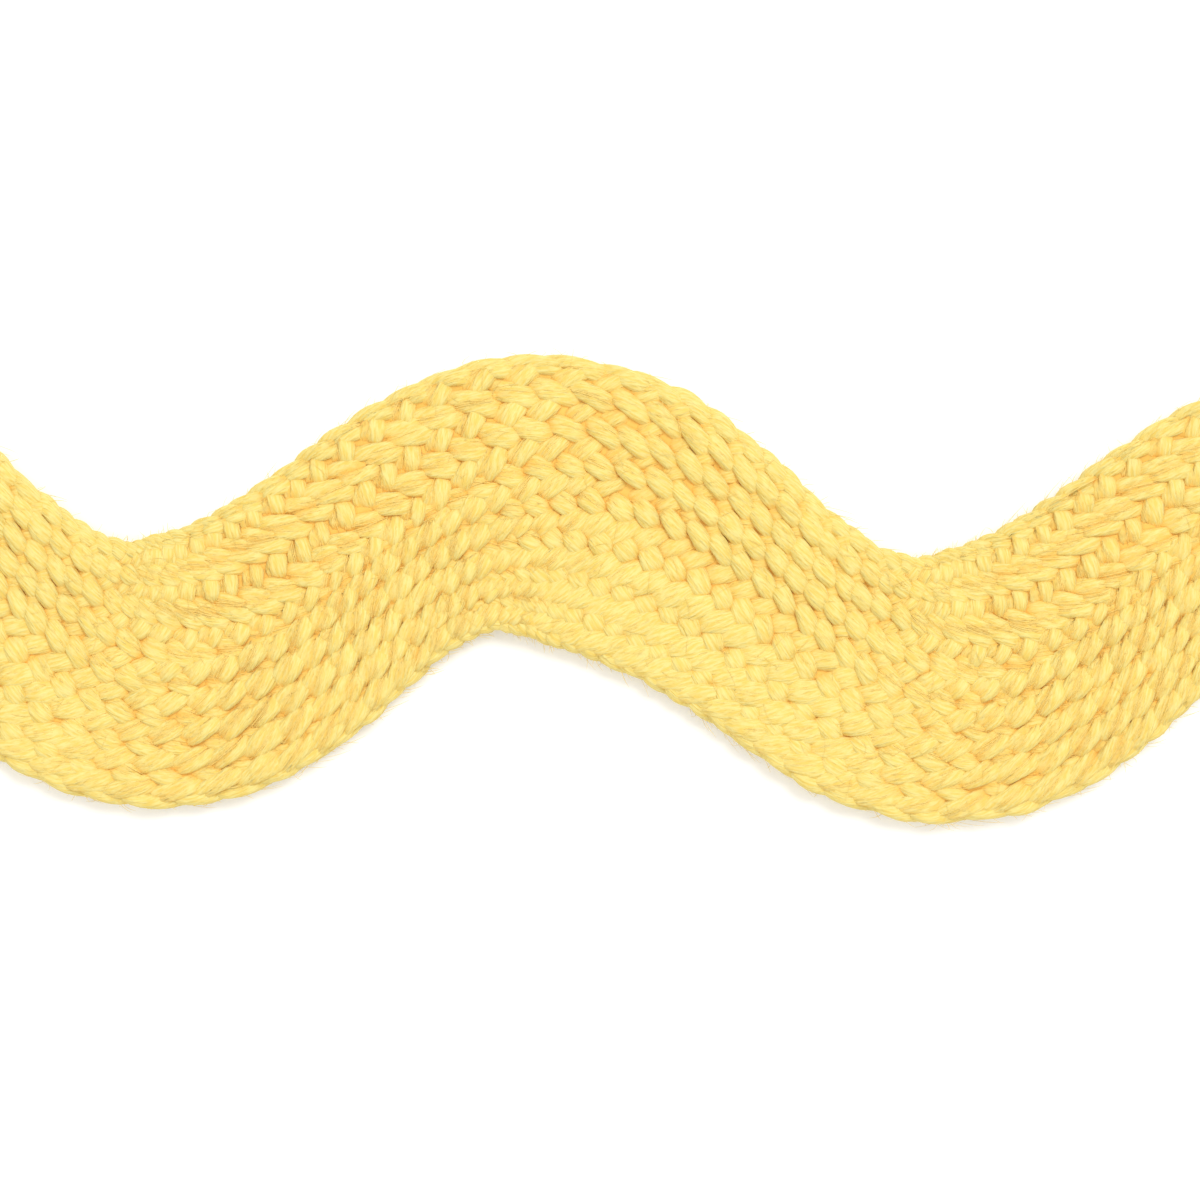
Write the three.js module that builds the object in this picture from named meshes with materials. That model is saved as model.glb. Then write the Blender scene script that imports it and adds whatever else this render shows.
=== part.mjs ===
// A cut length of ric rac: one flat cotton braid whose edges wave from side to side.
// Millimetres, +X along the length, +Y across it, +Z up, lying on Z = 0.
import * as THREE from 'three';

// Driving dimensions, in millimetres
const WAVES = 3;                 // whole waves in the cut length
const WAVE_ARC = 47.4;           // length of one wave along the middle of the braid
const BRAID_WIDTH = 14.1;        // mean width, square to the middle line
const THICKNESS = 2.0;           // over the tops of the ribs
const YARNS = 33;                // yarns in the braid, and so rows of crossings across it
const ROWS_PER_RIB = 4;          // each yarn goes over two and under two, which makes one rib
const FIRST_RIB = 1.5;           // ribs are highest one row above it on rising slopes, or below
const RIB_RELIEF = 0.3;          // how deep the grooves lie between the plump ribs
const FLOAT_RELIEF = 0.14;       // how deep they lie where the level yarns float

// The middle line's direction: a main swing up and down, and what makes it uneven, in degrees
const SWING = 38.9;
const MEAN_LEAN = 0.15;
const SKEW = { sine: 0.8, cosine: -2.2 };        // twice a wave
const FLATTER_SLOPES = { sine: 1.7, cosine: 0.8 };  // three times a wave

// The braid is wider just before each bend and narrower on the slopes
const WIDTH_SWELL = { size: 0.94, lag: 0.82 };   // twice a wave: millimetres, radians
const WIDTH_DRIFT = -0.4;                        // once a wave, millimetres

// The rows lie close in one half and wide in the other, and change halves on each slope
const CROWDED_SHARE = 0.65;      // of the rows lie in the crowded half, plus or minus the drift
const SHARE_DRIFT = 0.11;        // more of them lie below on both kinds of slope
const KINK_PLACE = 0.15;         // where the halves meet: 0 is the middle line, 1 the upper edge
const KINK_SOFTNESS = 0.05;      // share of the rows over which the spacing changes
const SOFTENING = [-1, -0.5, 0, 0.5, 1];  // places in that share that are averaged
const OPEN_BEND = 0.3;           // how much the open half closes up towards its edge
const TURN_ROUNDING = 0.993;     // how rounded the yarns' turns at the edges are: 1 is sharp

// How the side is rounded, as a rope of turning yarns: from the underside to the upper side
const SIDE = [
  { inset: 0.6, height: 0 },
  { inset: 0.16, height: 0.34 },
  { inset: 0, height: 0.9 },
  { inset: 0.14, height: 1.4 },
  { inset: 0.4, height: 1.78 },
];

// Mesh steps
const STEPS_PER_WAVE = 24;
const POINTS_ACROSS = 41;
const WALK_STEPS_PER_WAVE = 240;  // fine steps that find the middle line

const TURN = 2 * Math.PI;

// The phase counts waves in radians: low points at 0 and 2 pi, high points at pi
function heading(phase) {
  const degrees = MEAN_LEAN
    + SWING * Math.sin(phase)
    + SKEW.sine * Math.sin(2 * phase)
    + SKEW.cosine * Math.cos(2 * phase)
    + FLATTER_SLOPES.sine * Math.sin(3 * phase)
    + FLATTER_SLOPES.cosine * Math.cos(3 * phase);
  return THREE.MathUtils.degToRad(degrees);
}

function braidWidth(phase) {
  return BRAID_WIDTH
    + WIDTH_SWELL.size * Math.cos(2 * phase - WIDTH_SWELL.lag)
    + WIDTH_DRIFT * Math.cos(phase);
}

// Walks along the middle line and keeps a point at each mesh step
function middleLine() {
  const fineSteps = WAVES * WALK_STEPS_PER_WAVE;
  const keepEvery = WALK_STEPS_PER_WAVE / STEPS_PER_WAVE;
  const step = WAVE_ARC / WALK_STEPS_PER_WAVE;
  const startPhase = Math.PI - WAVES * Math.PI;
  const points = [];
  let x = 0;
  let y = 0;
  for (let i = 0; i <= fineSteps; i += 1) {
    const phase = startPhase + TURN * i / WALK_STEPS_PER_WAVE;
    if (i % keepEvery === 0) {
      points.push({ x, y, phase });
    }
    const middlePhase = phase + TURN / WALK_STEPS_PER_WAVE / 2;
    x += step * Math.cos(heading(middlePhase));
    y += step * Math.sin(heading(middlePhase));
  }
  return points;
}

// How far from the line where the halves meet, for a share of the rows in one half
function placeInHalf(share, openness) {
  const bend = OPEN_BEND * openness;
  return (1 - bend) * share + bend * Math.sin(share * TURN / 4);
}

function sharpPlace(rows, phase) {
  const rise = Math.sin(phase);
  const below = 0.5 + (CROWDED_SHARE - 0.5) * rise + SHARE_DRIFT;
  if (rows < below) {
    return KINK_PLACE - (1 + KINK_PLACE) * placeInHalf(1 - rows / below, (1 - rise) / 2);
  }
  return KINK_PLACE + (1 - KINK_PLACE) * placeInHalf((rows - below) / (1 - below), (1 + rise) / 2);
}

// Where a row lies, from -1 at the lower edge to 1 at the upper one; row counts from 0 to YARNS
function rowPlace(row, phase) {
  const turned = Math.asin(TURN_ROUNDING * Math.sin(Math.PI * (row / YARNS - 0.5)));
  const rows = 0.5 + 0.5 * turned / Math.asin(TURN_ROUNDING);
  const reach = Math.min(KINK_SOFTNESS, rows, 1 - rows);
  let total = 0;
  for (const offset of SOFTENING) {
    total += sharpPlace(rows + offset * reach, phase);
  }
  return total / SOFTENING.length;
}

// 1 in the crowded half, where the ribs stand out, and 0 in the other
function plumpness(phase, across) {
  return THREE.MathUtils.smoothstep(-Math.sin(phase) * across, -0.2, 0.2);
}

// Height of the upper face on a row: yarns that climb make the ribs on rising slopes, and yarns
// that come down make them on falling ones, so the ribs change places at each bend
function faceHeight(phase, row) {
  const plump = plumpness(phase, rowPlace(row, phase));
  const relief = THREE.MathUtils.lerp(FLOAT_RELIEF, RIB_RELIEF, plump);
  const ribPhase = TURN * (row - FIRST_RIB) / ROWS_PER_RIB;
  return THICKNESS - relief * (0.5 - 0.5 * Math.sin(phase) * Math.sin(ribPhase));
}

// One closed section, from the lower left round the left side, over the top and down the right
function section(phase) {
  const half = braidWidth(phase) / 2;
  const lastInset = SIDE[SIDE.length - 1].inset;
  const points = SIDE.map((row) => ({ v: row.inset - half, z: row.height }));
  for (let i = 1; i < POINTS_ACROSS - 1; i += 1) {
    const row = YARNS * i / (POINTS_ACROSS - 1);
    points.push({ v: (half - lastInset) * rowPlace(row, phase), z: faceHeight(phase, row) });
  }
  for (const row of [...SIDE].reverse()) {
    points.push({ v: half - row.inset, z: row.height });
  }
  return points;
}

function braidGeometry() {
  const stations = middleLine();
  const middle = stations[Math.floor(stations.length / 2)];
  const positions = [];
  const indices = [];
  let ring = 0;
  for (const station of stations) {
    const along = heading(station.phase);
    const points = section(station.phase);
    ring = points.length;
    for (const point of points) {
      const x = station.x - middle.x - point.v * Math.sin(along);
      const y = station.y - middle.y + point.v * Math.cos(along);
      positions.push(x, y, point.z);
    }
  }
  for (let s = 0; s < stations.length - 1; s += 1) {
    for (let k = 0; k < ring; k += 1) {
      const next = (k + 1) % ring;
      const a = s * ring + k;
      const b = s * ring + next;
      const c = a + ring;
      const d = b + ring;
      indices.push(a, c, b, b, c, d);
    }
  }
  const outline = section(stations[0].phase).map((p) => new THREE.Vector2(p.v, p.z));
  const lastRing = (stations.length - 1) * ring;
  for (const [i, j, k] of THREE.ShapeUtils.triangulateShape(outline, [])) {
    indices.push(k, j, i);
    indices.push(lastRing + i, lastRing + j, lastRing + k);
  }
  const geometry = new THREE.BufferGeometry();
  geometry.setAttribute('position', new THREE.Float32BufferAttribute(positions, 3));
  geometry.setIndex(indices);
  return geometry;
}

// Sets the origin under the middle of the part's box
function standOnOrigin(geometry) {
  geometry.computeBoundingBox();
  const box = geometry.boundingBox;
  const middle = box.getCenter(new THREE.Vector3());
  geometry.translate(-middle.x, -middle.y, -box.min.z);
}

const yellowCotton = new THREE.MeshStandardMaterial({ color: 0xfadd7d, roughness: 0.9, metalness: 0 });

const geometry = braidGeometry();
standOnOrigin(geometry);
const braid = new THREE.Mesh(geometry, yellowCotton);
braid.name = 'ric_rac_braid';

const group = new THREE.Group();
group.add(braid);

export default group;
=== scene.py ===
# %% [markdown]
# Ric rac is a flat braid with a wavy edge. A braiding machine crosses 33 cotton yarns over and
# under each other, and each yarn runs from one edge to the other and back once in every wave.
# This lesson builds the braid the same way: it works out the path of each yarn, wraps a soft
# skin round that path, and lets the ribs, the level floats and the rope-like edges come from
# the crossings themselves.

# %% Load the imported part
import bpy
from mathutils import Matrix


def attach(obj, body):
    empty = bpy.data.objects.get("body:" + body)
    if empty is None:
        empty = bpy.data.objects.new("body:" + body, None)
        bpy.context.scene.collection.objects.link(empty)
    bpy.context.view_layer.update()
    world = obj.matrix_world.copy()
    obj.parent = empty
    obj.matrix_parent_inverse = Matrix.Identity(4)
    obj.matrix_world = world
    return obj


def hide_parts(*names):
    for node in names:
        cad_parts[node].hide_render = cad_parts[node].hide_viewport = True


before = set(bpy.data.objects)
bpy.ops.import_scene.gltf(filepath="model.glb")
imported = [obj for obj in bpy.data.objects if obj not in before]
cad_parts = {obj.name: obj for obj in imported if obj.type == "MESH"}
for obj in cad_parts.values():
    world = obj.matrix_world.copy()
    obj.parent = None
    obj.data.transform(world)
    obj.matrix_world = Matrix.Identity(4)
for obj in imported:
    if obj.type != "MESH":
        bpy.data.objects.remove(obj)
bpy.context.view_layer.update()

# %% [markdown]
# A braid has far too many points to place by hand. Numpy works out all points of a yarn at once
# from a few formulas, and bpy, which is Blender itself, turns them into meshes. One vector from
# mathutils helps to aim the lamps.

# %% Modules
import math

import bpy
import numpy as np
from mathutils import Vector

# %% [markdown]
# All lengths below are real millimetres, and one constant turns them into Blender's metres.
# The middle line of the braid is described by its direction, because a wave like this one is
# easier to state as an angle that swings up and down than as a height. Two small extra swings,
# twice and three times a wave, make the slopes flatter and the bends uneven, as real ones are.

# %% The wave of the middle line
MM = 0.001                 # metres
TURN = 2 * math.pi         # radians
WAVES = 3                  # whole waves in the cut length
WAVE_ARC = 47.4            # length of one wave along the middle of the braid
CUT_LENGTH = WAVES * WAVE_ARC
BRAID_WIDTH = 14.1         # mean width, square to the middle line
SWING = 38.9               # degrees that the direction swings up and down
MEAN_LEAN = 0.15           # degrees
SKEW_SINE, SKEW_COSINE = 0.8, -2.2    # degrees, twice a wave
SLOPE_SINE, SLOPE_COSINE = 1.7, 0.8   # degrees, three times a wave
SWELL, SWELL_LAG = 0.94, 0.82         # the width, twice a wave: millimetres, radians
WIDTH_DRIFT = -0.4                    # the width, once a wave: millimetres


def heading(phase):
    """The direction of the middle line in radians; high points lie at a phase of pi."""
    degrees = MEAN_LEAN + SWING * np.sin(phase)
    degrees = degrees + SKEW_SINE * np.sin(2 * phase) + SKEW_COSINE * np.cos(2 * phase)
    degrees = degrees + SLOPE_SINE * np.sin(3 * phase) + SLOPE_COSINE * np.cos(3 * phase)
    return np.radians(degrees)


def braid_width(phase):
    """The width of the braid in millimetres, square to its middle line."""
    return BRAID_WIDTH + SWELL * np.cos(2 * phase - SWELL_LAG) + WIDTH_DRIFT * np.cos(phase)


def phase_at(along):
    """The phase at a length along the middle line, counted from the middle high point."""
    return math.pi + TURN * along / WAVE_ARC


# %% [markdown]
# A direction becomes a line by adding up many tiny steps. The line is then moved so that the
# braid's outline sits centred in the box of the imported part, where the part's own origin is.

# %% The middle line, and its place in the part's box
LINE_STEPS = 8000      # along the whole line
SPARE_LENGTH = 4.0     # past each cut, for the yarns that run ahead
line_along = np.linspace(-CUT_LENGTH / 2 - SPARE_LENGTH, CUT_LENGTH / 2 + SPARE_LENGTH, LINE_STEPS)
line_step = line_along[1] - line_along[0]
line_heading = heading(phase_at(line_along + line_step / 2))
line_x = np.cumsum(np.cos(line_heading)) * line_step
line_y = np.cumsum(np.sin(line_heading)) * line_step
line_x = line_x - np.interp(0, line_along, line_x)
line_y = line_y - np.interp(0, line_along, line_y)


def across_the_braid(along, aside):
    """The x and y of a point at a length along the middle line and a distance to its left."""
    direction = heading(phase_at(along))
    x = np.interp(along, line_along, line_x) - aside * np.sin(direction)
    y = np.interp(along, line_along, line_y) + aside * np.cos(direction)
    return x, y


inside_cut = line_along[abs(line_along) <= CUT_LENGTH / 2]
half_width = braid_width(phase_at(inside_cut)) / 2
upper_edge = np.array(across_the_braid(inside_cut, half_width))
lower_edge = np.array(across_the_braid(inside_cut, -half_width))
outline = np.concatenate([upper_edge, lower_edge], axis=1)
outline_middle = (outline.min(axis=1) + outline.max(axis=1)) / 2
line_x = line_x - outline_middle[0]
line_y = line_y - outline_middle[1]
print("outline in mm:", np.round(outline.max(axis=1) - outline.min(axis=1), 2))

# %% [markdown]
# Nothing in the braid changes at once: slopes pass into bends and the ribs into the floats. Two
# helpers make such changes, one for a mix of two values and one for a soft step.

# %% Blends
def blend(first, second, share):
    """The first value where the share is 0, the second where it is 1."""
    return first + (second - first) * share


def smoothstep(value, low, high):
    """0 below the low value, 1 above the high one, and a soft step between."""
    share = np.clip((value - low) / (high - low), 0, 1)
    return share * share * (3 - 2 * share)


# %% [markdown]
# Every yarn crosses every other yarn once on its way over the braid, so the crossings lie in 33
# rows that run along the ribbon. The machine pulls harder on one side of each slope: there the
# rows crowd together into plump ribs, and on the other side they open into a chequer of long
# level floats. The crowded side swaps at each bend.

# %% Rows of crossings
YARNS = 33                # in the braid, and so rows of crossings across it
CROWDED_SHARE = 0.65      # of the rows lie in the crowded half, plus or minus the drift
SHARE_DRIFT = 0.11        # more of them lie below on both kinds of slope
KINK_PLACE = 0.15         # where the halves meet: 0 is the middle line, 1 the upper edge
KINK_SOFTNESS = 0.05      # share of the rows over which the spacing changes
SOFTENING = (-1, -0.5, 0, 0.5, 1)   # places in that share that are averaged
OPEN_BEND = 0.3           # how much the open half closes up towards its edge
PLUMP_CHANGE = 0.2        # how far from the middle line the ribs reach their full size


def place_in_half(share, openness):
    """How far from the line where the halves meet, for a share of the rows in one half."""
    return blend(share, np.sin(share * TURN / 4), OPEN_BEND * openness)


def sharp_place(rows, phase):
    """Where a row lies, before the kink between the halves is softened."""
    rise = np.sin(phase)
    below = 0.5 + (CROWDED_SHARE - 0.5) * rise + SHARE_DRIFT
    low = place_in_half(np.clip(1 - rows / below, 0, 1), (1 - rise) / 2)
    high = place_in_half(np.clip((rows - below) / (1 - below), 0, 1), (1 + rise) / 2)
    return np.where(rows < below, KINK_PLACE - (1 + KINK_PLACE) * low,
                    KINK_PLACE + (1 - KINK_PLACE) * high)


def row_place(rows, phase):
    """Where a row lies, from -1 at the lower edge to 1 at the upper one; rows runs from 0 to 1."""
    reach = np.minimum(KINK_SOFTNESS, np.minimum(rows, 1 - rows))
    return np.mean([sharp_place(rows + offset * reach, phase) for offset in SOFTENING], axis=0)


def plumpness(phase, place):
    """1 in the crowded half, where the ribs stand out, and 0 in the other."""
    return smoothstep(-np.sin(phase) * place, -PLUMP_CHANGE, PLUMP_CHANGE)


# %% [markdown]
# A yarn zigzags from edge to edge. The number of yarns it has crossed is a plain triangle wave.
# Its place across the braid is the same wave with rounded turns, made with the arcsine of a sine
# that never quite reaches one. The middle of the braid runs a little ahead of its edges, which
# makes the level yarns level and the steep yarns steep.

# %% The path of one yarn
TURN_ROUNDING = 0.993     # how rounded the turns at the edges are: 1 is sharp
FLIP_SOFTNESS = 0.10      # how gently a yarn changes over from heading up to heading down
FORWARD_BULGE = 1.9       # millimetres that the middle runs ahead of the edges
EDGE_INSET = 0.46         # from the braid's edge to the middle of a turning yarn
STEPS_PER_CROSSING = 3    # enough for a smooth path over and under
STEP = WAVE_ARC / (2 * YARNS * STEPS_PER_CROSSING)


def rounded_zigzag(cycle):
    """Yarns crossed, the same with rounded turns, and the way the yarn heads, from -1 to 1."""
    angle = TURN * cycle - TURN / 4
    crossed = YARNS / 2 + YARNS / math.pi * np.arcsin(np.sin(angle))
    rounded = np.arcsin(TURN_ROUNDING * np.sin(angle)) / math.asin(TURN_ROUNDING)
    slope = np.cos(angle)
    way = slope / np.sqrt(slope ** 2 + FLIP_SOFTNESS ** 2)
    return crossed, YARNS / 2 * (1 + rounded), way


def yarn_path(number, start_shift):
    """Where a yarn runs over the whole cut length, and what it crosses there."""
    reach = CUT_LENGTH / 2 + SPARE_LENGTH / 2
    travel = np.arange(-reach, reach, STEP)
    cycle = (travel - start_shift) / WAVE_ARC - number / YARNS
    crossed, rows, way = rounded_zigzag(cycle)
    first_place = row_place(rows / YARNS, phase_at(travel))
    along = travel + FORWARD_BULGE * (1 - first_place ** 2)
    phase = phase_at(along)
    place = row_place(rows / YARNS, phase)
    aside = place * (braid_width(phase) / 2 - EDGE_INSET)
    x, y = across_the_braid(along, aside)
    return along, cycle, crossed, way, phase, place, x, y


# %% [markdown]
# Over two, under two: a yarn's height is a smooth wave over the rows, four rows long. Yarns that
# head up the braid and yarns that head down it use opposite heights, so they always pass each
# other. In the crowded half the steep yarns swell into plump ribs and the level ones sink thin
# between them. In the open half the level yarns cover more of the face. A table gives the sizes
# for each of these cases, and every point along a yarn gets a blend of them.

# %% Sizes of a yarn
# Millimetres, but a share for the squeeze where a yarn dives. Each row: level and steep in the
# open half, level in the crowded half, and steep in it on a rising slope and on a falling one
SHAPES = {
    "lift": (0.44, 0.45, 0.28, 0.54, 0.52),
    "half_across": (0.70, 0.66, 0.50, 0.70, 0.55),
    "half_thick": (0.38, 0.36, 0.31, 0.43, 0.43),
    "dive_squeeze": (0.08, 0.10, 0.10, 0.08, 0.14),
}


def by_half(values, plump, rising):
    """Blends an open, a crowded rising and a crowded falling value."""
    return blend(values[0], blend(values[2], values[1], rising), plump)


def shape_of(name, plump, rising, steepness):
    """One size from the table, blended for each point along a yarn."""
    level_open, steep_open, level_crowded, steep_rising, steep_falling = SHAPES[name]
    steep = by_half((steep_open, steep_rising, steep_falling), plump, rising)
    return blend(blend(level_open, level_crowded, plump), steep, steepness)


# %% [markdown]
# A cosine over the rows takes a yarn over two others and under two. It is made squarer, because
# a real yarn lies flat on the ones below it and then dives quickly between two of them. A shift
# of the cosine makes its floats longer than its dives, or shorter.

# %% Height of a yarn
ROWS_PER_FLOAT_PAIR = 4        # over two and under two
FIRST_FLOAT = 2.5              # the row where the yarns that head up are first on top
MIDDLE_HEIGHT = 1.0            # of the braid's middle above the table, in millimetres
STEEP_SHARPNESS = 1.5          # how quickly a bend becomes a slope
EDGE_ROPE_START = 0.88         # share of the way from the middle line to the edge
EDGE_ROPE_HALF_ACROSS = 0.50   # millimetres
EDGE_ROPE_HALF_THICK = 0.46
# Each row: in the open half, and in the crowded half on a rising slope and on a falling one
STEEP_ON_TOP = (-0.40, 0.30, 0.08)    # above 0, the steep yarns stay on top for longer
FLOAT_SQUARENESS = (1.5, 1.4, 1.0)    # more is a flatter top and a quicker dive


def sharpened(value, sharpness):
    """A wave from -1 to 1 with flatter tops and steeper flanks."""
    return np.tanh(sharpness * value) / np.tanh(sharpness)


def yarn_body(crossed, way, phase, place):
    """The height of a yarn's centre and its half width and thickness; round at the edges."""
    plump = plumpness(phase, place)
    slope = sharpened(np.sin(phase), STEEP_SHARPNESS)
    rising = (1 + slope) / 2
    steepness = (1 + way * slope) / 2
    shift = by_half(STEEP_ON_TOP, plump, rising) * slope
    wave = np.cos(TURN * (crossed - FIRST_FLOAT) / ROWS_PER_FLOAT_PAIR) + shift
    wave = wave / (1 + np.sign(wave) * shift)
    squared = sharpened(wave, by_half(FLOAT_SQUARENESS, plump, rising))
    height = MIDDLE_HEIGHT + shape_of("lift", plump, rising, steepness) * squared * way
    squeeze = 1 - shape_of("dive_squeeze", plump, rising, steepness) * (1 - squared ** 2)
    across = shape_of("half_across", plump, rising, steepness) * squeeze
    thick = shape_of("half_thick", plump, rising, steepness)
    edge = smoothstep(abs(place), EDGE_ROPE_START, 1.0)
    across = blend(across, EDGE_ROPE_HALF_ACROSS, edge)
    thick = blend(thick, EDGE_ROPE_HALF_THICK, edge)
    return height, across, thick


# %% [markdown]
# Carded cotton yarn is never quite even, and a machine never pulls quite evenly. So each size
# wanders a little along the yarn. A sum of a few sines with random starts gives a smooth line
# without steps. The starts come from one seeded generator, so every run gives the same braid.

# %% Unevenness
SEED = 1907    # any other number gives another braid of the same kind
# How each thing wanders along a yarn: its wave lengths in millimetres, and its size, in radians
# for the turns, in millimetres for the height and aside, and as a share for the others
UNEVEN = {
    "groove_turn": ((5.0, 12.0), 0.20),
    "groove_depth": ((3.0, 8.0), 0.30),
    "ridge_turn": ((4.0, 9.0), 1.0),
    "height": ((5.0, 13.0), 0.03),
    "aside": ((3.5, 8.0, 15.0), 0.06),
    "across": ((1.7, 3.1, 9.0), 0.09),
    "thick": ((2.1, 6.0), 0.06),
}
chance = np.random.default_rng(SEED)


def wander(what, count):
    """A smooth random line, with one value for each step along a yarn."""
    wave_lengths, size = UNEVEN[what]
    travelled = np.arange(count) * STEP
    total = np.zeros(count)
    for wave_length in wave_lengths:
        start = chance.uniform(0, TURN)
        total = total + np.sin(TURN * travelled / wave_length + start)
    return size * total / math.sqrt(len(wave_lengths))


# %% [markdown]
# A skin is built from rings of points round the yarn's path. Each ring needs to know which way
# is level and aside from the yarn, and which way is up from it. Both are square to its path.

# %% Directions along a yarn
def unit(vectors):
    """The same directions with a length of one."""
    return vectors / np.linalg.norm(vectors, axis=-1, keepdims=True)


def frames_along(points):
    """For a line of points: the level sideways direction, and up from the line."""
    ahead = unit(np.gradient(points, axis=0))
    aside = unit(np.cross([0, 0, 1], ahead))
    return aside, np.cross(ahead, aside)


# %% [markdown]
# Each yarn is two soft strands of cotton with a slow twist, so full that they touch all along.
# Two separate strands would double the mesh and hide most of it inside, so the yarn is drawn as
# one closed skin with a groove between the strands and some soft ridges, which all turn with the
# twist. The twist opens the strands a little on the rising slopes and closes them on the
# falling ones.

# %% The skin of a yarn
SIDES = 16                    # points round a yarn
SIDES_ON_TOP = 0.28           # how much closer they lie on its upper side
ROUNDNESS = 2.6               # 2 is an ellipse, and more is fuller
GROOVE_DEPTH = 0.30           # share of the yarn's size
GROOVE_DEEPER_RISING = 0.26   # more of it on rising slopes, less on falling ones
GROOVE_WIDTH = 0.38           # share of the yarn's width
HALF_TURNS_PER_WAVE = 17      # of the strands: a groove faces up at about every float
TWIST_PER_MM = 0.8            # radians that the ridges turn
RIDGES_ROUND = (2, 3, 4, 5)   # several counts, so that they don't look regular
RIDGE_SIZE = 0.055            # share of the yarn's size


def skin_angles():
    """Angles round a yarn, from its underside, with more of them on the upper side."""
    share = np.arange(SIDES) / SIDES
    return TURN * share - TURN / 4 + SIDES_ON_TOP * np.sin(TURN * share)


def rounded_square(wave):
    """A cosine or sine made fuller, for an outline between an ellipse and a rectangle."""
    return np.sign(wave) * abs(wave) ** (2 / ROUNDNESS)


def yarn_skin(centre, across, thick, cycle, phase):
    """Rings of points on a yarn's skin, and how deep in the groove each one lies."""
    aside, up = frames_along(centre)
    count = len(centre)
    angles = skin_angles()[None, :]
    half_turns = HALF_TURNS_PER_WAVE * (cycle - FIRST_FLOAT / (2 * YARNS))
    groove_turn = wander("groove_turn", count) - math.pi * half_turns
    groove_depth = GROOVE_DEPTH + GROOVE_DEEPER_RISING * np.sin(phase)
    groove_depth = groove_depth * (1 + wander("groove_depth", count))
    off_groove = np.cos(angles - groove_turn[:, None])
    near_groove = np.exp(-(off_groove / GROOVE_WIDTH) ** 2)
    in_groove = groove_depth[:, None] * near_groove * (1 - off_groove ** 2)
    size = 1 - in_groove
    twisted = angles + TWIST_PER_MM * np.arange(count)[:, None] * STEP
    for ridges in RIDGES_ROUND:
        start = chance.uniform(0, TURN) + wander("ridge_turn", count)[:, None]
        size = size + RIDGE_SIZE / ridges * np.sin(ridges * twisted + start)
    sideways = rounded_square(np.cos(angles)) * across[:, None] * size
    upwards = rounded_square(np.sin(angles)) * thick[:, None] * size
    rings = (centre[:, None, :] + aside[:, None, :] * sideways[:, :, None]
             + up[:, None, :] * upwards[:, :, None])
    return rings, in_groove


# %% [markdown]
# A ring of points on each step becomes a tube of four-sided faces. Each tube also gets a map
# that runs along the yarn in millimetres, so that the fibres in its material follow the yarn.

# %% Faces and map of a tube
def skin_faces(rings, sides):
    """Four-sided faces between the rings of a tube."""
    grid = np.arange(rings * sides).reshape(rings, sides)
    following = np.roll(grid, -1, axis=1)
    return np.stack([grid[:-1], following[:-1], following[1:], grid[1:]], axis=-1).reshape(-1, 4)


def skin_map(rings, sides, lengths):
    """The map of a tube: how far round, from 0 to 1, and how far along, in millimetres."""
    around = np.broadcast_to(np.arange(sides)[None, :] / sides, (rings - 1, sides))
    before = np.broadcast_to(lengths[:-1, None], (rings - 1, sides))
    after = np.broadcast_to(lengths[1:, None], (rings - 1, sides))
    corners = [(around, before), (around + 1 / sides, before),
               (around + 1 / sides, after), (around, after)]
    return np.stack([np.stack(corner, axis=-1) for corner in corners], axis=2).reshape(-1, 2)


# %% [markdown]
# The mesh data is handed to Blender as whole arrays, which is far quicker than adding faces one
# by one. Every piece here is yellow cotton and rides on the braid's only body, so the same
# helper says both.

# %% Meshes from arrays
NO_CAPS = np.zeros((0, 4), int)    # for tubes with open ends


def mesh_piece(name, points, quads, material, caps=NO_CAPS, uv_of_corner=None, painted_shade=None):
    """A mesh object in metres from points in millimetres, smooth but for its flat caps."""
    mesh = bpy.data.meshes.new(name)
    mesh.vertices.add(len(points))
    mesh.vertices.foreach_set("co", (points * MM).astype(np.float32).ravel())
    corners = np.concatenate([quads.ravel(), caps.ravel()]).astype(np.int32)
    starts = np.arange(len(quads)) * 4
    cap_starts = quads.size + np.arange(len(caps)) * caps.shape[1]
    mesh.loops.add(len(corners))
    mesh.loops.foreach_set("vertex_index", corners)
    mesh.polygons.add(len(quads) + len(caps))
    mesh.polygons.foreach_set("loop_start", np.concatenate([starts, cap_starts]).astype(np.int32))
    mesh.polygons.foreach_set("use_smooth", np.arange(len(quads) + len(caps)) < len(quads))
    if uv_of_corner is not None:
        layer = mesh.uv_layers.new(name="along_the_yarn")
        whole_map = np.concatenate([uv_of_corner, np.zeros((caps.size, 2))])
        layer.data.foreach_set("uv", whole_map.astype(np.float32).ravel())
    # A share of painted shade for each point, which the yarn material reads.
    if painted_shade is not None:
        layer = mesh.attributes.new("painted_shade", "FLOAT", "POINT")
        layer.data.foreach_set("value", painted_shade.astype(np.float32).ravel())
    mesh.update(calc_edges=True)
    mesh.validate()
    mesh.materials.append(material)
    piece = bpy.data.objects.new(name, mesh)
    bpy.context.scene.collection.objects.link(piece)
    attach(piece, "root")
    return piece


# %% [markdown]
# Colours are written as they look on a screen, in hex, and Blender mixes light in linear values,
# so one function turns the first into the second. Another small function adds a node to a
# material with its settings and links.

# %% Colour and node helpers
def linear(hex_colour):
    """Linear red, green, blue and alpha from an sRGB hex value, by the sRGB curve."""
    channels = [int(hex_colour[i:i + 2], 16) / 255 for i in (1, 3, 5)]
    light = [c / 12.92 if c <= 0.04045 else ((c + 0.055) / 1.055) ** 2.4 for c in channels]
    return (*light, 1.0)


def add_node(tree, kind, settings=None, values=None, links=None):
    """Adds a node; settings are its properties, values its sockets, links what feeds them."""
    node = tree.nodes.new(kind)
    for key, value in (settings or {}).items():
        setattr(node, key, value)
    for key, value in (values or {}).items():
        node.inputs[key].default_value = value
    for key, source in (links or {}).items():
        tree.links.new(source, node.inputs[key])
    return node
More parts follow.
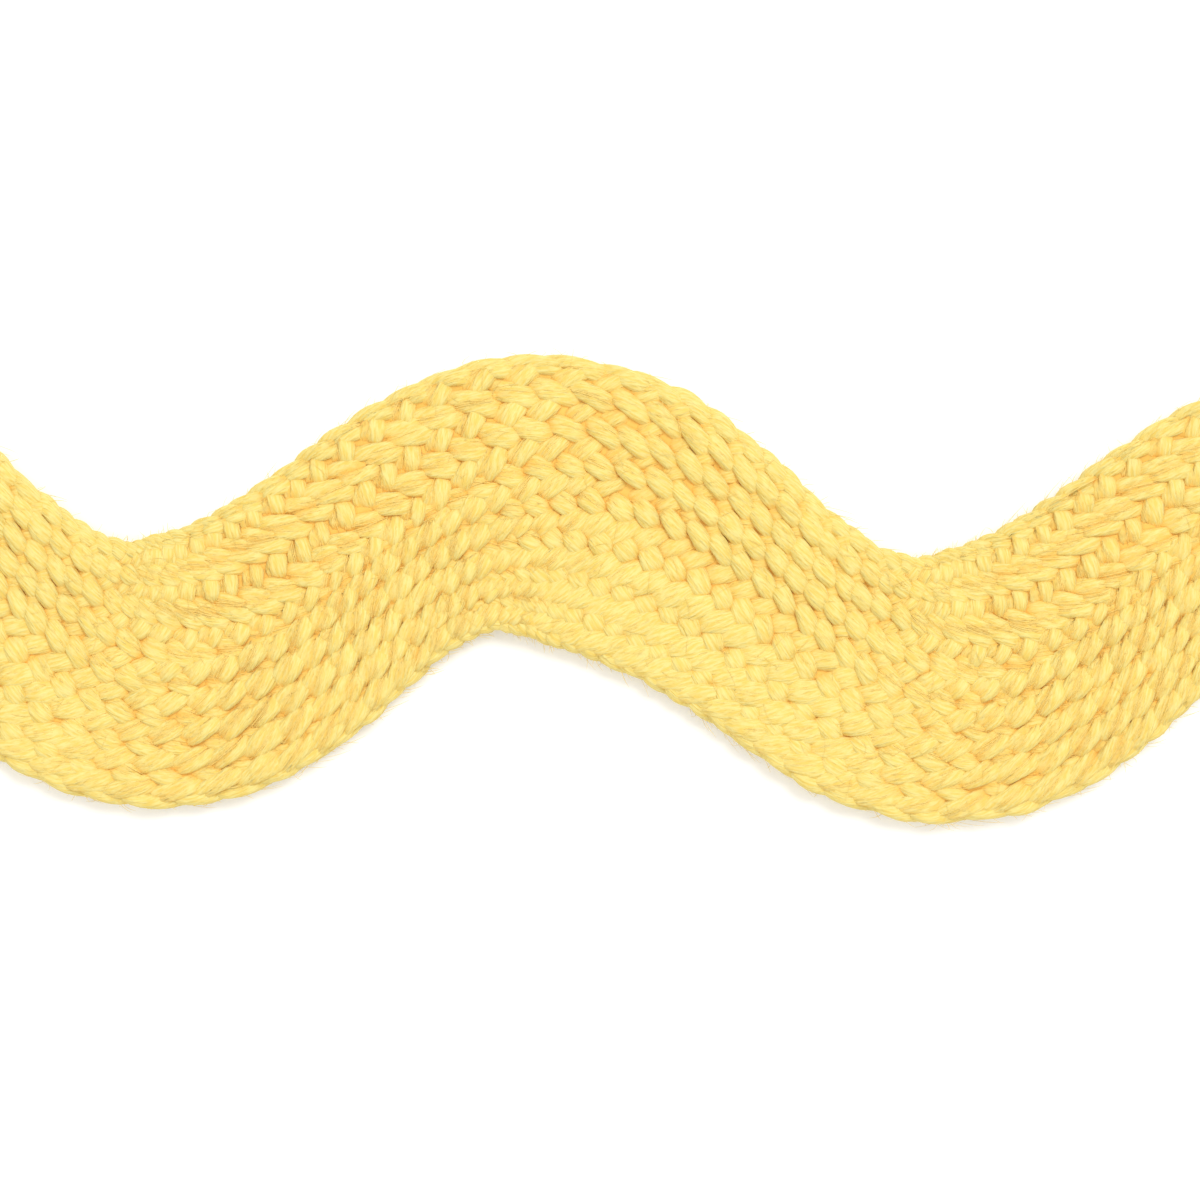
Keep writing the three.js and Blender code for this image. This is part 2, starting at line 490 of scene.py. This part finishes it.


# %% [markdown]
# The yarn is carded cotton, spun loosely and dyed butter yellow. Its surface is a skin of fine
# fibres that slant with the twist, so it is quite matte, with a faint sheen where light grazes
# it. Fibres are 0.02 mm thick, too fine to draw, so they are drawn as streaks of 0.12 mm, and
# broader tufts lie under them. Between the yarns the light has passed through dyed cotton again
# and again, which makes the valleys a warmer yellow than the crowns. That is painted shade: the
# valleys and grooves get a deeper orange in the colour.

# %% Cotton yarn material
ROUND_THE_YARN = 3.0      # millimetres round a yarn of middle size
TWIST_SLANT = 0.40        # millimetres aside for each one along: 22 degrees
STREAK_WIDTH, STREAK_LENGTH, STREAK_RELIEF = 0.12, 0.6, 0.035
TUFT_WIDTH, TUFT_LENGTH, TUFT_RELIEF = 0.38, 1.0, 0.14
BLOTCH_SIZE, BLOTCH_STRENGTH = 1.1, 0.12
STREAK_RANGE = (0.35, 0.62)   # of the noise: all dark below it, all pale above it
# The last colour is painted shade: a deeper orange for the valleys and grooves.
DYE_IN_STREAKS, DYE_ON_CROWNS, PAINTED_SHADE_IN_VALLEYS = "#E8C966", "#EBD988", "#F3BF5B"


def fibre_noise(tree, place, width, length):
    """Noise drawn out along the yarn, with the given width and length in millimetres."""
    scale = (ROUND_THE_YARN / width, 1 / length, 1.0)
    stretched = add_node(tree, "ShaderNodeMapping", None, {"Scale": scale},
                         {"Vector": place.outputs["UV"]})
    return add_node(tree, "ShaderNodeTexNoise", {"noise_dimensions": "2D"},
                    {"Scale": 1.0, "Detail": 3.0, "Roughness": 0.55},
                    {"Vector": stretched.outputs["Vector"]})


def cotton_yarn_material():
    """Matt dyed cotton with slanted fibre streaks, tufts, and painted shade in the valleys."""
    material = bpy.data.materials.new("carded_cotton_yarn")
    material.use_nodes = True
    tree = material.node_tree
    tree.nodes.clear()
    output = add_node(tree, "ShaderNodeOutputMaterial")
    place = add_node(tree, "ShaderNodeUVMap", {"uv_map": "along_the_yarn"})
    streaks = fibre_noise(tree, place, STREAK_WIDTH, STREAK_LENGTH)
    tufts = fibre_noise(tree, place, TUFT_WIDTH, TUFT_LENGTH)
    streak_ends = add_node(tree, "ShaderNodeMapRange", None,
                           {"From Min": STREAK_RANGE[0], "From Max": STREAK_RANGE[1]},
                           {"Value": streaks.outputs["Fac"]})
    dye = add_node(tree, "ShaderNodeMixRGB", None,
                   {"Color1": linear(DYE_IN_STREAKS), "Color2": linear(DYE_ON_CROWNS)},
                   {"Fac": streak_ends.outputs["Result"]})
    # Painted shade: the colour is mixed towards the deeper orange by each point's share of it.
    painted_shade = add_node(tree, "ShaderNodeAttribute", {"attribute_name": "painted_shade"})
    with_painted_shade = add_node(tree, "ShaderNodeMixRGB", None, {"Color2": linear(PAINTED_SHADE_IN_VALLEYS)},
                      {"Fac": painted_shade.outputs["Fac"], "Color1": dye.outputs["Color"]})
    body = add_node(tree, "ShaderNodeTexCoord")
    blotches = add_node(tree, "ShaderNodeTexNoise", None,
                        {"Scale": 1 / (BLOTCH_SIZE * MM), "Detail": 2.0},
                        {"Vector": body.outputs["Object"]})
    uneven_dye = add_node(tree, "ShaderNodeMixRGB", {"blend_type": "MULTIPLY"},
                          {"Fac": BLOTCH_STRENGTH},
                          {"Color1": with_painted_shade.outputs["Color"], "Color2": blotches.outputs["Fac"]})
    fine_relief = add_node(tree, "ShaderNodeBump", None, {"Distance": STREAK_RELIEF * MM},
                           {"Height": streaks.outputs["Fac"]})
    relief = add_node(tree, "ShaderNodeBump", None, {"Distance": TUFT_RELIEF * MM},
                      {"Height": tufts.outputs["Fac"], "Normal": fine_relief.outputs["Normal"]})
    cotton = add_node(tree, "ShaderNodeBsdfPrincipled", None,
                      {"Roughness": 0.85, "IOR": 1.5, "Specular IOR Level": 0.15,
                       "Sheen Weight": 0.08, "Sheen Roughness": 0.5},
                      {"Base Color": uneven_dye.outputs["Color"],
                       "Normal": relief.outputs["Normal"]})
    tree.links.new(cotton.outputs["BSDF"], output.inputs["Surface"])
    return material


# %% [markdown]
# A single loose fibre is the same dyed cotton. The ones that cling to a crown catch the light,
# so their colour is painted paler, a painted highlight. The ones that stand off are seen against
# it, so their colour is painted a little darker, a painted shade.

# %% Loose fibre materials
def loose_fibre_material(name, colour):
    """The same cotton, for fibres too thin to need streaks of their own."""
    material = bpy.data.materials.new(name)
    material.use_nodes = True
    shader = material.node_tree.nodes["Principled BSDF"]
    shader.inputs["Base Color"].default_value = linear(colour)
    shader.inputs["Roughness"].default_value = 0.7
    shader.inputs["IOR"].default_value = 1.55
    shader.inputs["Specular IOR Level"].default_value = 0.3
    return material


yarn_material = cotton_yarn_material()
# Painted highlight in the colour of the clinging fibres, and painted shade in that of the stray
# ones.
clinging_material = loose_fibre_material("clinging_fibre_painted_highlight", "#F8DA80")
stray_material = loose_fibre_material("stray_fibre_painted_shade", "#ECCE76")

# %% [markdown]
# The material needs to know where to paint shade, in a warmer colour, in the valleys. A point
# counts as deep when it is near the braid's middle height or in the groove of its yarn. The edges
# and cut ends are open to the light from the side, so the painted shade fades out there.

# %% Painted shade in the valleys
# These set where the painted shade lies, how strong it is in the grooves, and where it fades.
VALLEY_FLOOR, VALLEY_RIM = 0.30, 0.72   # millimetres above or below the braid's middle
GROOVE_PAINTED_SHADE = 0.8                     # how warm the grooves are for their depth
VALLEY_EDGES = (0.91, 0.98)             # share of the way to the edge where the warmth fades
VALLEY_ENDS = (CUT_LENGTH / 2 - 1.5, CUT_LENGTH / 2 - 0.3)   # where it fades along the braid


def painted_shade_amount(height, in_groove, place, along):
    """How much painted shade: 1 deep between the yarns, 0 on their crowns and at the braid's edges
    and ends.
    """
    depth = 1 - smoothstep(abs(height - MIDDLE_HEIGHT), VALLEY_FLOOR, VALLEY_RIM)
    depth = np.clip(depth + GROOVE_PAINTED_SHADE * in_groove, 0, 1)
    from_edges = 1 - smoothstep(abs(place), *VALLEY_EDGES)
    from_ends = 1 - smoothstep(abs(along), *VALLEY_ENDS)
    return depth * (from_edges * from_ends)[:, None]


# %% [markdown]
# Now the yarns themselves. Each one is a mesh object of its own. Scissors don't cut 33 yarns to
# one length, so each yarn ends a little before or after the cut.

# %% Make the yarns
START_JITTER = 0.10       # millimetres from a yarn's even place
CUT_JITTER = 0.3          # millimetres from the cut
MAP_SHIFT = 50.0          # turns of the map, so that no two yarns have the same streaks
yarn_lines = []
for number in range(YARNS):
    start_shift = chance.normal(0, START_JITTER)
    along, cycle, crossed, way, phase, place, x, y = yarn_path(number, start_shift)
    height, across, thick = yarn_body(crossed, way, phase, place)
    count = len(x)
    across = across * (1 + wander("across", count))
    thick = thick * (1 + wander("thick", count))
    centre = np.stack([x, y + wander("aside", count), height + wander("height", count)], axis=1)
    left_cut, right_cut = CUT_LENGTH / 2 + chance.uniform(-CUT_JITTER, CUT_JITTER, 2)
    kept = (along >= -left_cut) & (along <= right_cut)
    yarn_lines.append((centre[kept], across[kept], thick[kept]))
    rings, in_groove = yarn_skin(centre, across, thick, cycle, phase)
    rings, in_groove = rings[kept], in_groove[kept]
    steps = np.linalg.norm(np.diff(centre[kept], axis=0), axis=1)
    corner_map = skin_map(len(rings), SIDES, np.concatenate([[0], np.cumsum(steps)]))
    map_shift = chance.uniform(0, MAP_SHIFT)
    corner_map[:, 0] += corner_map[:, 1] * TWIST_SLANT / ROUND_THE_YARN + map_shift
    ends = np.array([np.arange(SIDES)[::-1], np.arange(SIDES) + (len(rings) - 1) * SIDES])
    # How much painted shade each point of the skin gets.
    painted_shade = painted_shade_amount(rings[:, :, 2], in_groove, place[kept], along[kept])
    piece = mesh_piece(f"yarn_{number + 1:02d}", rings.reshape(-1, 3),
                       skin_faces(len(rings), SIDES), yarn_material, ends, corner_map, painted_shade)

# %% [markdown]
# Carded cotton is never smooth. Some fibres cling to their yarn and slant over it with the twist,
# some stand off and cross to the next yarn, and some stick out past the edges and the cut ends.
# Each one is a thin tube with three sides along a short line of five points.

# %% Tubes for loose fibres
FIBRE_POINTS = 5                                     # along one fibre
FIBRE_SIDES = 3                                      # round it
FIBRE_TAPER = np.array([0.35, 1.0, 1.0, 0.9, 0.3])   # share of the radius at each point
ROUGHLY_UP = (0.12, 0.07, 1.0)                       # no fibre points exactly this way


def fibre_piece(name, lines, thinnest, thickest, material):
    """Thin three-sided tubes along many short lines, joined in one piece."""
    ahead = unit(np.gradient(lines, axis=1))
    aside = unit(np.cross(ahead, ROUGHLY_UP))
    up = np.cross(aside, ahead)
    radius = chance.uniform(thinnest, thickest, (len(lines), 1)) * FIBRE_TAPER[None, :]
    angles = TURN * np.arange(FIBRE_SIDES) / FIBRE_SIDES
    ring = (aside[:, :, None, :] * np.cos(angles)[None, None, :, None]
            + up[:, :, None, :] * np.sin(angles)[None, None, :, None])
    points = (lines[:, :, None, :] + radius[:, :, None, None] * ring).reshape(-1, 3)
    first_point = np.arange(len(lines)) * FIBRE_POINTS * FIBRE_SIDES
    quads = skin_faces(FIBRE_POINTS, FIBRE_SIDES)[None, :, :] + first_point[:, None, None]
    return mesh_piece(name, points, quads.reshape(-1, 4), material)


# %% [markdown]
# Fibres on the face start from random places on the yarns, and more of them where a yarn lies
# on top. A clinging fibre follows the yarn's skin. A stray one leaves it in a low arch.

# %% Fibres on the face
CLING_STEPS = 2                                # yarn steps from point to point
CLING_PLACES, CLING_REACH = 0.75, 0.95         # share of the yarn's half width
CLING_SLANT, CLING_SLANT_SPREAD = 0.55, 0.25   # the same share, over half a fibre
CLING_LIFT = (-0.06, 0.02)                     # share of the yarn's half thickness
STRAY_PLACES = 0.7                             # share of the yarn's half width
STRAY_LENGTH = (0.5, 1.6)                      # millimetres
STRAY_TURN, STRAY_TURN_SPREAD = 0.4, 0.6       # radians away from the yarn
STRAY_BEND = 0.25                              # share of the length
STRAY_ARCH, STRAY_DROOP = (0.02, 0.10), 5      # millimetres up, and how fast the ends fall
BURIED_SHARE = 0.02                            # how many start where a yarn is buried


def places_on_yarns(count, reach):
    """Random places on the yarns: the line, sideways and up directions and sizes round each."""
    steps = (np.arange(FIBRE_POINTS) - FIBRE_POINTS // 2)[None, :] * reach
    found = []
    for centre, across, thick in yarn_lines:
        aside, up = frames_along(centre)
        margin = reach * FIBRE_POINTS
        weight = np.clip(centre[:, 2] - MIDDLE_HEIGHT, BURIED_SHARE, None)
        weight[:margin] = 0
        weight[-margin:] = 0
        start = chance.choice(len(centre), size=count // YARNS + 1, p=weight / weight.sum())
        at = start[:, None] + steps
        found.append((centre[at], aside[at], up[at], across[at], thick[at]))
    return [np.concatenate(rows)[:count] for rows in zip(*found)]


def clinging_fibres(count):
    """Lines that follow a yarn's skin and slant over it."""
    centre, aside, up, across, thick = places_on_yarns(count, CLING_STEPS)
    middle = chance.uniform(-CLING_PLACES, CLING_PLACES, (count, 1))
    slant = chance.normal(CLING_SLANT, CLING_SLANT_SPREAD, (count, 1))
    round_it = middle + slant * np.linspace(-1, 1, FIBRE_POINTS)[None, :]
    round_it = np.clip(round_it, -CLING_REACH, CLING_REACH)
    lift = np.sqrt(1 - round_it ** 2) + chance.uniform(*CLING_LIFT, (count, 1))
    return centre + aside * (across * round_it)[:, :, None] + up * (thick * lift)[:, :, None]


def stray_fibres(count):
    """Lines that leave a yarn's skin in a low arch and lie across its neighbours."""
    centre, aside, up, across, thick = [rows[:, 0] for rows in places_on_yarns(count, 1)]
    sideways = across * chance.uniform(-STRAY_PLACES, STRAY_PLACES, count)
    base = centre + up * thick[:, None] + aside * sideways[:, None]
    turn = chance.normal(STRAY_TURN, STRAY_TURN_SPREAD, count)[:, None]
    way = np.cross(aside, up) * np.cos(turn) + aside * np.sin(turn)
    length = chance.uniform(*STRAY_LENGTH, (count, 1))
    bend = chance.normal(0.0, STRAY_BEND, (count, 1)) * length
    share = np.linspace(-0.5, 0.5, FIBRE_POINTS)[None, :]
    lines = base[:, None, :] + way[:, None, :] * (length * share)[:, :, None]
    lines = lines + np.cross(way, [0, 0, 1])[:, None, :] * (bend * share ** 2)[:, :, None]
    arch = chance.uniform(*STRAY_ARCH, (count, 1))
    lines[:, :, 2] = base[:, 2, None] + arch * (1 - STRAY_DROOP * share ** 2)
    return lines


# %% [markdown]
# At the edges the fibres stick out to the side and lean along the braid. At the cut ends they
# stick out lengthwise, where the scissors have loosened the yarns.

# %% Fibres at the edges and the cut ends
EDGE_LENGTH = (0.2, 0.8)                 # millimetres
EDGE_LEAN, EDGE_LEAN_SPREAD = 0.9, 0.6   # millimetres along for each one of length
EDGE_CURL = 0.7                          # how strongly they curl
EDGE_STAND, EDGE_STAND_LOSS = 1.2, 0.3   # radians, and how many of them the curl takes
EDGE_ROOT = 0.25                         # millimetres inside the edge
LOWER_EDGE_SHARE = 0.6                   # of the fibres, as in the photo
EDGE_MARGIN = 1.5                        # millimetres from the cut ends
END_LENGTH = (0.2, 1.0)
FIBRE_HEIGHTS = (0.5, 1.5)               # millimetres above the table
FIBRE_CLIMB = 0.25


def fibre_heights(count, share):
    """Heights of loose fibres, which rise or fall a little."""
    start = chance.uniform(*FIBRE_HEIGHTS, (count, 1))
    return start + chance.normal(0, FIBRE_CLIMB, (count, 1)) * share


def edge_fibres(count):
    """Lines that stick out past the edges, leaning along the braid."""
    reach = CUT_LENGTH / 2 - EDGE_MARGIN
    along = chance.uniform(-reach, reach, (count, 1))
    side = np.where(chance.uniform(0, 1, (count, 1)) < LOWER_EDGE_SHARE, -1, 1)
    length = chance.uniform(*EDGE_LENGTH, (count, 1))
    lean = chance.normal(EDGE_LEAN, EDGE_LEAN_SPREAD, (count, 1))
    curl = chance.normal(0.0, EDGE_CURL, (count, 1))
    share = np.linspace(0, 1, FIBRE_POINTS)[None, :]
    root = braid_width(phase_at(along)) / 2 - EDGE_ROOT
    stand = EDGE_STAND - EDGE_STAND_LOSS * abs(curl)
    aside = side * (root + length * np.sin(share * stand))
    x, y = across_the_braid(along + length * (lean * share + curl * share ** 2), aside)
    return np.stack([x, y, fibre_heights(count, share)], axis=-1)


def end_fibres(count):
    """Lines that stick out of the two cut ends."""
    end = chance.choice([-1, 1], (count, 1))
    end_width = braid_width(phase_at(CUT_LENGTH / 2))
    root = chance.uniform(-1, 1, (count, 1)) * (end_width / 2 - EDGE_ROOT)
    share = np.linspace(0, 1, FIBRE_POINTS)[None, :]
    length = chance.uniform(*END_LENGTH, (count, 1))
    along = end * (CUT_LENGTH / 2 - EDGE_ROOT + length * share)
    curl = chance.normal(0, EDGE_CURL, (count, 1))
    x, y = across_the_braid(along, root + curl * length * share ** 2)
    return np.stack([x, y, fibre_heights(count, share)], axis=-1)


# %% [markdown]
# A real cotton fibre has a radius of about 0.01 mm. The thickest of these have twice that, as a
# few real ones often stick together. There are enough to soften the face, and few enough that
# each piece stays light.

# %% Make the loose fibres
CLINGING_COUNT, STRAY_COUNT, EDGE_COUNT, END_COUNT = 6000, 4400, 1000, 400
CLINGING_RADIUS, STRAY_RADIUS = (0.010, 0.020), (0.009, 0.015)    # millimetres
clinging = clinging_fibres(CLINGING_COUNT)
strays = [stray_fibres(STRAY_COUNT), edge_fibres(EDGE_COUNT), end_fibres(END_COUNT)]
strays = np.concatenate(strays)
fibre_pieces = [
    fibre_piece("clinging_fibres", clinging, *CLINGING_RADIUS, clinging_material),
    fibre_piece("stray_fibres", strays, *STRAY_RADIUS, stray_material),
]
print("loose fibres:", len(clinging) + len(strays))

# %% [markdown]
# Between its two faces the braid is imported solid with yarn that no one sees. A thin sheet with
# the braid's outline stands for that, and keeps light from shining through the gaps. Its colour
# carries nearly full painted shade.

# %% The imported middle of the braid
BED_INSET = 0.9                     # millimetres inside the edges
BED_END_INSET = 0.8                 # millimetres inside the cut ends
BED_TOP, BED_BOTTOM = 1.40, 0.60    # millimetres above the table
BED_STEPS, BED_ROWS = 180, 9        # points along it and across it
# Painted shade on the packed middle, nearly as strong as in the deepest valleys.
BED_PAINTED_SHADE = 0.8                    # nearly as warm as the deepest valleys
bed_reach = CUT_LENGTH / 2 - BED_END_INSET
bed_along = np.linspace(-bed_reach, bed_reach, BED_STEPS)[:, None]
bed_half_width = braid_width(phase_at(bed_along)) / 2 - BED_INSET
bed_aside = bed_half_width * np.linspace(-1, 1, BED_ROWS)[None, :]
bed_x, bed_y = across_the_braid(np.broadcast_to(bed_along, bed_aside.shape), bed_aside)
bed_faces = [np.stack([bed_x, bed_y, np.full(bed_x.shape, level)], axis=-1).reshape(-1, 3)
             for level in (BED_TOP, BED_BOTTOM)]
bed_points = np.concatenate(bed_faces)
index = np.arange(BED_STEPS * BED_ROWS).reshape(BED_STEPS, BED_ROWS)
corners = [index[:-1, :-1], index[1:, :-1], index[1:, 1:], index[:-1, 1:]]
top = np.stack(corners, axis=-1).reshape(-1, 4)
under = top[:, ::-1] + index.size
rim = np.concatenate([index[:, 0], index[-1, 1:], index[-2::-1, -1], index[0, -2:0:-1]])
rim_next = np.roll(rim, -1)
walls = np.stack([rim_next, rim, rim + index.size, rim_next + index.size], axis=-1)
bed = mesh_piece("packed_middle", bed_points, np.concatenate([top, under, walls]), yarn_material,
                 painted_shade=np.full(len(bed_points), BED_PAINTED_SHADE))
print("packed middle:", len(bed.data.polygons), "faces")

# %% [markdown]
# The photo shows the braid on pure white. Here it lies on a plain table of white laminate, large
# enough that no edge of it comes into a picture. It isn't part of the braid.

# %% Table
TABLE_SIZE = 3.0    # metres


def white_table_material():
    """Matt white laminate, smooth and without gloss."""
    material = bpy.data.materials.new("matt_white_laminate")
    material.use_nodes = True
    shader = material.node_tree.nodes["Principled BSDF"]
    shader.inputs["Base Color"].default_value = linear("#FFFFFF")
    shader.inputs["Roughness"].default_value = 0.9
    return material


bpy.ops.mesh.primitive_plane_add(size=TABLE_SIZE, location=(0, 0, 0))
table = bpy.context.active_object
table.name = "white_table"
table.data.materials.append(white_table_material())

# %% [markdown]
# Most of the light comes evenly from a white room, which keeps the shadows on the table faint
# and the valleys between the yarns bright. One large lamp from the upper right gives the ribs
# their soft shading, and a weaker one opposite fills it in.

# %% Lights
ROOM_LIGHT = 0.96    # strength of the white room
# Metres from the part's origin, metres across and high, and watts
LAMPS = {
    "window_light": {"place": (0.30, 0.55, 0.95), "size": (0.6, 0.5), "power": 6.4},
    "fill_light": {"place": (-0.3, -0.5, 0.9), "size": (0.8, 0.6), "power": 0.8},
}


def soft_box(name, place, size, power):
    """A rectangular lamp that faces the middle of the braid."""
    light = bpy.data.lights.new(name, "AREA")
    light.shape = "RECTANGLE"
    light.size = size[0]
    light.size_y = size[1]
    light.energy = power
    lamp = bpy.data.objects.new(name, light)
    bpy.context.scene.collection.objects.link(lamp)
    lamp.location = place
    lamp.rotation_euler = (-Vector(place)).to_track_quat("-Z", "Y").to_euler()
    return lamp


for lamp_name, lamp in LAMPS.items():
    soft_box(lamp_name, **lamp)
world = bpy.data.worlds.new("white_room")
bpy.context.scene.world = world
world.use_nodes = True
world.node_tree.nodes["Background"].inputs["Color"].default_value = linear("#FFFFFF")
world.node_tree.nodes["Background"].inputs["Strength"].default_value = ROOM_LIGHT
bpy.context.scene.view_settings.view_transform = "Standard"

# %% [markdown]
# The photo was taken straight down, so the camera looks straight down too. One wave is 886.1
# photo pixels long, measured along its middle line, which gives the size of a pixel. The photo
# is turned by a little over a degree, and its middle lies right of and below a high point.

# %% Camera
PHOTO_WIDTH_PIXELS = 1200
WAVE_ARC_PIXELS = 886.1
PHOTO_CENTRE = (3.54, -5.51)   # from the high point of the middle line, in millimetres
PHOTO_ROLL = 1.2               # degrees
LENS, SENSOR = 100.0, 36.0     # millimetres: a long lens, which looks nearly straight down
NEAR_CLIP = 0.01               # metres
frame_width = PHOTO_WIDTH_PIXELS * WAVE_ARC / WAVE_ARC_PIXELS
camera_height = frame_width * LENS / SENSOR
crest_x = np.interp(0, line_along, line_x)
crest_y = np.interp(0, line_along, line_y)
camera_data = bpy.data.cameras.new("photo_camera")
camera_data.lens = LENS
camera_data.sensor_width = SENSOR
camera_data.clip_start = NEAR_CLIP
camera = bpy.data.objects.new("photo_camera", camera_data)
bpy.context.scene.collection.objects.link(camera)
camera.location = ((crest_x + PHOTO_CENTRE[0]) * MM, (crest_y + PHOTO_CENTRE[1]) * MM,
                   (camera_height + MIDDLE_HEIGHT) * MM)
camera.rotation_euler = (0, 0, math.radians(PHOTO_ROLL))
bpy.context.scene.camera = camera
print("frame width in mm:", round(frame_width, 2), "camera height in mm:", round(camera_height, 1))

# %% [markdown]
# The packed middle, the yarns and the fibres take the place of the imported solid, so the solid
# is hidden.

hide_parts("ric_rac_braid")
